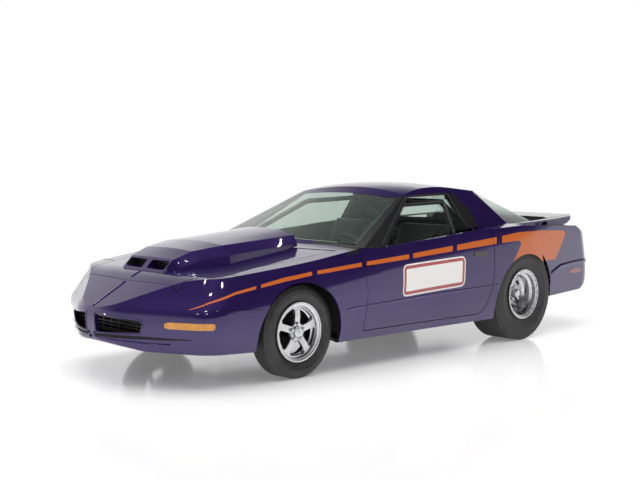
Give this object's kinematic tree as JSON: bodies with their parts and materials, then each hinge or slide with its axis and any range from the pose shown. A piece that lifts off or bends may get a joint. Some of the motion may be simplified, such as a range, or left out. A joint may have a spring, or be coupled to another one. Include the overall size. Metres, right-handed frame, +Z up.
{
  "type": "drag racing car",
  "caption": "Fastback race car with a hood scoop, rear wing, wide rear slicks, roll cage and opening doors, hood and hatch.",
  "frame": {"origin": "on the ground under the middle of the car's overall box", "axes": "+X towards the nose, +Y to the car's left, +Z up"},
  "size_m": [4.9475, 1.8476, 1.3225],
  "materials": {
    "paint": "deep violet metallic gloss",
    "black_plastic": "matte",
    "amber_lens": "clear amber",
    "red_lens": "clear red",
    "glass": "tinted",
    "primer": "satin",
    "frame_steel": "satin black",
    "engine_iron": "cast",
    "engine_aluminium": "satin",
    "pipe_steel": "dull",
    "seat_plastic": "matte",
    "wheel_aluminium": "polished",
    "tyre": "matte"
  },
  "bodies": {
    "chassis": {"front_fascia": "paint", "nostril_grille": "black_plastic", "marker_lamps": "amber_lens", "fender_left": "paint", "fender_right": "paint", "cowl": "paint", "roof": "paint", "windscreen": "glass", "quarter_left": "paint", "quarter_right": "paint", "wing_ends": "paint", "rear_fascia": "paint", "tail_lamps": "red_lens", "floor_pan": "primer", "firewall": "primer", "hinge_pillars": "primer", "core_support": "primer", "front_frame": "frame_steel", "engine": "engine_iron", "gearbox": "engine_aluminium", "exhaust": "pipe_steel", "rear_axle": "frame_steel", "rear_suspension": "frame_steel", "rear_floor": "primer", "wheel_tubs": "primer", "fuel_cell": "engine_aluminium", "race_seats": "seat_plastic", "dash": "black_plastic", "steering_wheel": "seat_plastic", "roll_cage": "frame_steel"},
    "hood": {"hood": "paint", "hood_scoop": "paint", "scoop_screens": "black_plastic"},
    "hatch": {"hatch": "paint", "hatch_glass": "glass", "wing_centre": "paint"},
    "left_door": {"door_left": "paint", "door_glass_left": "glass"},
    "right_door": {"door_right": "paint", "door_glass_right": "glass"},
    "left_knuckle": {"knuckle_left": "frame_steel"},
    "right_knuckle": {"knuckle_right": "frame_steel"},
    "front_left_wheel": {"front_wheel_left": "wheel_aluminium", "front_tyre_left": "tyre"},
    "front_right_wheel": {"front_wheel_right": "wheel_aluminium", "front_tyre_right": "tyre"},
    "rear_left_wheel": {"rear_wheel_left": "wheel_aluminium", "rear_tyre_left": "tyre"},
    "rear_right_wheel": {"rear_wheel_right": "wheel_aluminium", "rear_tyre_right": "tyre"}
  },
  "joints": [
    {"name": "hood_hinge", "type": "hinge", "parent": "chassis", "child": "hood", "pos_m": [0.917, 0, 0.838], "axis": [0, -1, 0], "range_deg": [0, 50]},
    {"name": "hatch_hinge", "type": "hinge", "parent": "chassis", "child": "hatch", "pos_m": [-0.905, 0, 1.185], "axis": [0, 1, 0], "range_deg": [0, 60]},
    {"name": "left_door_hinge", "type": "hinge", "parent": "chassis", "child": "left_door", "pos_m": [0.682, 0.862, 0.56], "axis": [0, 0, -1], "range_deg": [0, 65]},
    {"name": "right_door_hinge", "type": "hinge", "parent": "chassis", "child": "right_door", "pos_m": [0.682, -0.862, 0.56], "axis": [0, 0, 1], "range_deg": [0, 65]},
    {"name": "left_steering", "type": "hinge", "parent": "chassis", "child": "left_knuckle", "pos_m": [1.335, 0.64, 0.322], "axis": [0, 0, 1], "range_deg": [-25, 25]},
    {"name": "right_steering", "type": "hinge", "parent": "chassis", "child": "right_knuckle", "pos_m": [1.335, -0.64, 0.322], "axis": [0, 0, 1], "range_deg": [-25, 25]},
    {"name": "front_left_roll", "type": "hinge", "parent": "left_knuckle", "child": "front_left_wheel", "pos_m": [1.335, 0.766, 0.322], "axis": [0, 1, 0], "continuous": true},
    {"name": "front_right_roll", "type": "hinge", "parent": "right_knuckle", "child": "front_right_wheel", "pos_m": [1.335, -0.766, 0.322], "axis": [0, 1, 0], "continuous": true},
    {"name": "rear_left_roll", "type": "hinge", "parent": "chassis", "child": "rear_left_wheel", "pos_m": [-1.233, 0.729, 0.388], "axis": [0, 1, 0], "continuous": true},
    {"name": "rear_right_roll", "type": "hinge", "parent": "chassis", "child": "rear_right_wheel", "pos_m": [-1.233, -0.729, 0.388], "axis": [0, 1, 0], "continuous": true}
  ],
  "couplings": [
    {"joint": "right_steering", "follows": "left_steering", "ratio": 1}
  ]
}
